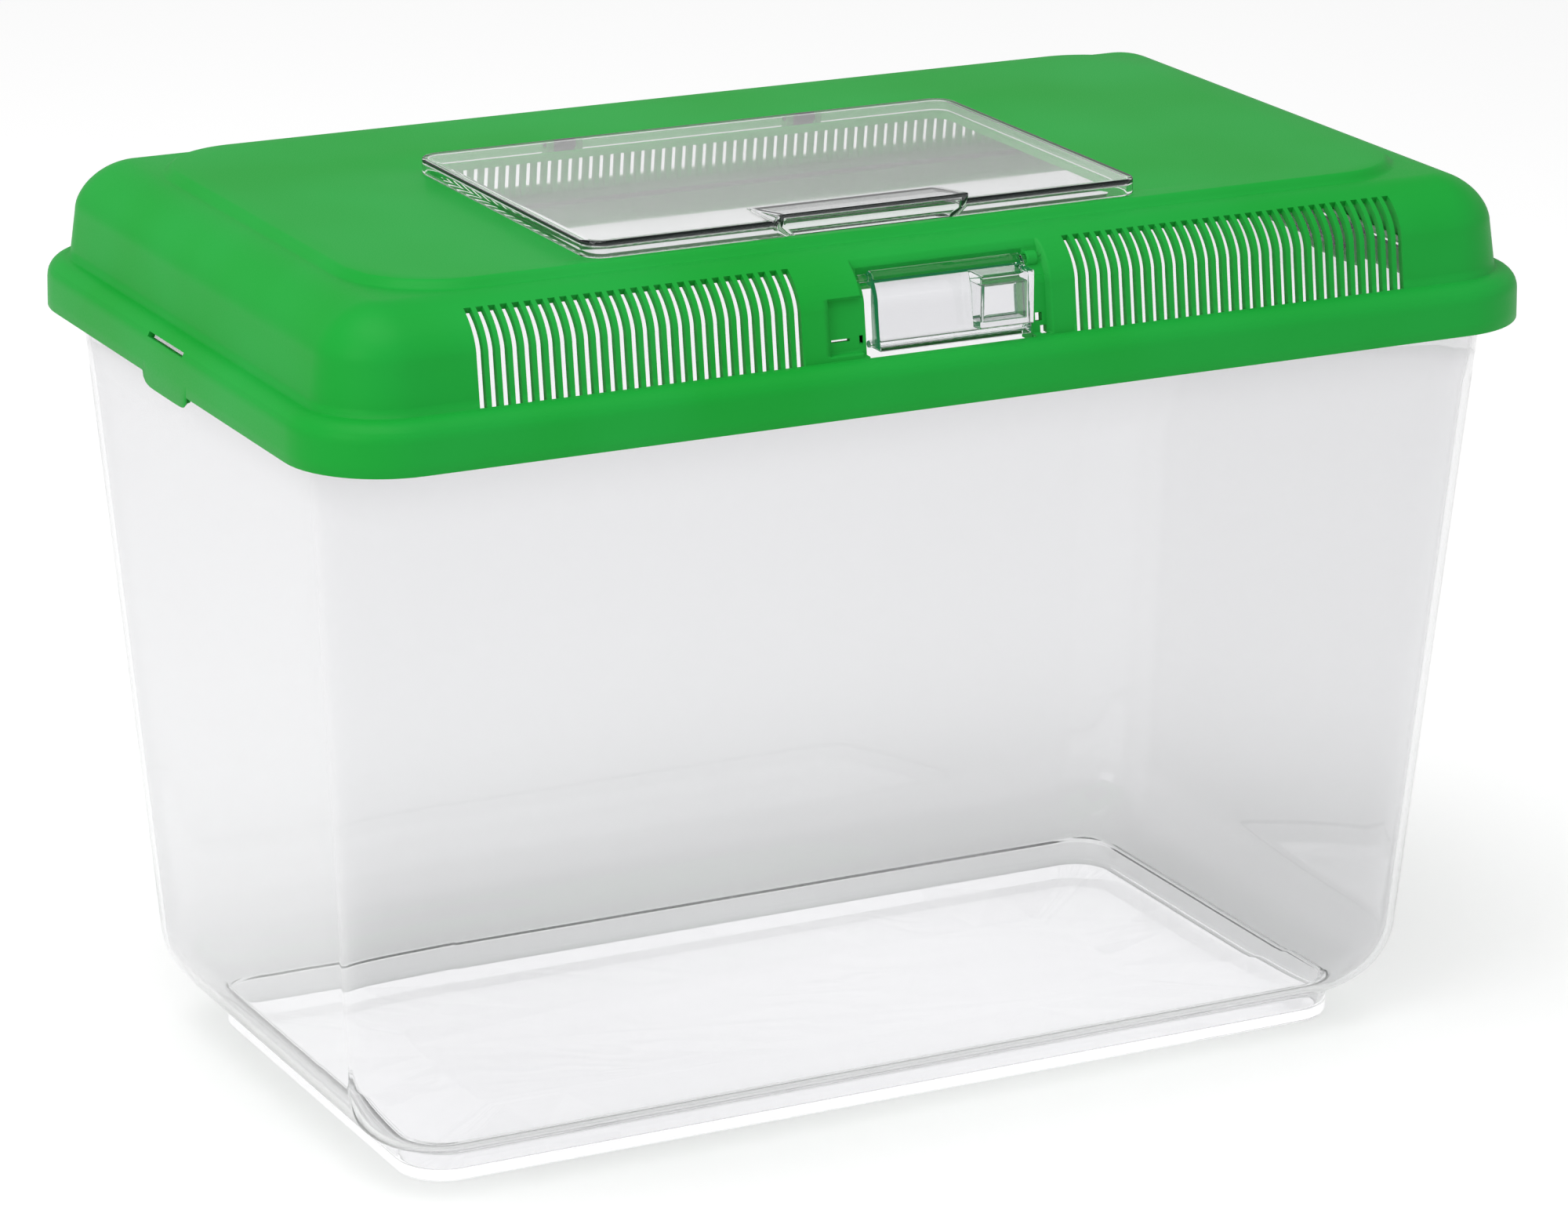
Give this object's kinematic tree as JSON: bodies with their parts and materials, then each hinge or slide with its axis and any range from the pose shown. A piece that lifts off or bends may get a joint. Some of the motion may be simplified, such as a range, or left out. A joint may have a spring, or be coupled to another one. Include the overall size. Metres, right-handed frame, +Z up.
{
  "type": "plastic pet keeper",
  "caption": "Clear tapered plastic tank on a low foot, with a coloured domed clip-down lid that has rows of air slots, a hinged clear top hatch and a small hinged feeding flap.",
  "frame": {"origin": "centre of the foot, on the ground that the tank stands on", "axes": "+Z up, X along the long front face with +X to the viewer's right, -Y towards the front, where the feeding flap is"},
  "size_m": [0.37, 0.224, 0.2626],
  "materials": {
    "clear_tank": "clear, polished",
    "coloured_lid": "satin, faintly translucent",
    "clear_hatch": "clear, polished"
  },
  "bodies": {
    "tank": {"tank": "clear_tank"},
    "lid": {"lid": "coloured_lid"},
    "top_hatch": {"top_hatch": "clear_hatch"},
    "feeding_flap": {"feeding_flap": "clear_hatch"}
  },
  "joints": [
    {"name": "lid_lift_off", "type": "slide", "parent": "tank", "child": "lid", "axis": [0, 0, 1], "range_m": [0, 0.06]},
    {"name": "top_hatch_hinge", "type": "hinge", "parent": "lid", "child": "top_hatch", "pos_m": [-0.0145, 0.0332, 0.2575], "axis": [-1, 0, 0], "range_deg": [0, 115]},
    {"name": "feeding_flap_hinge", "type": "hinge", "parent": "lid", "child": "feeding_flap", "pos_m": [-0.001, -0.09795, 0.24622], "axis": [-1, 0, 0], "range_deg": [0, 110]}
  ]
}
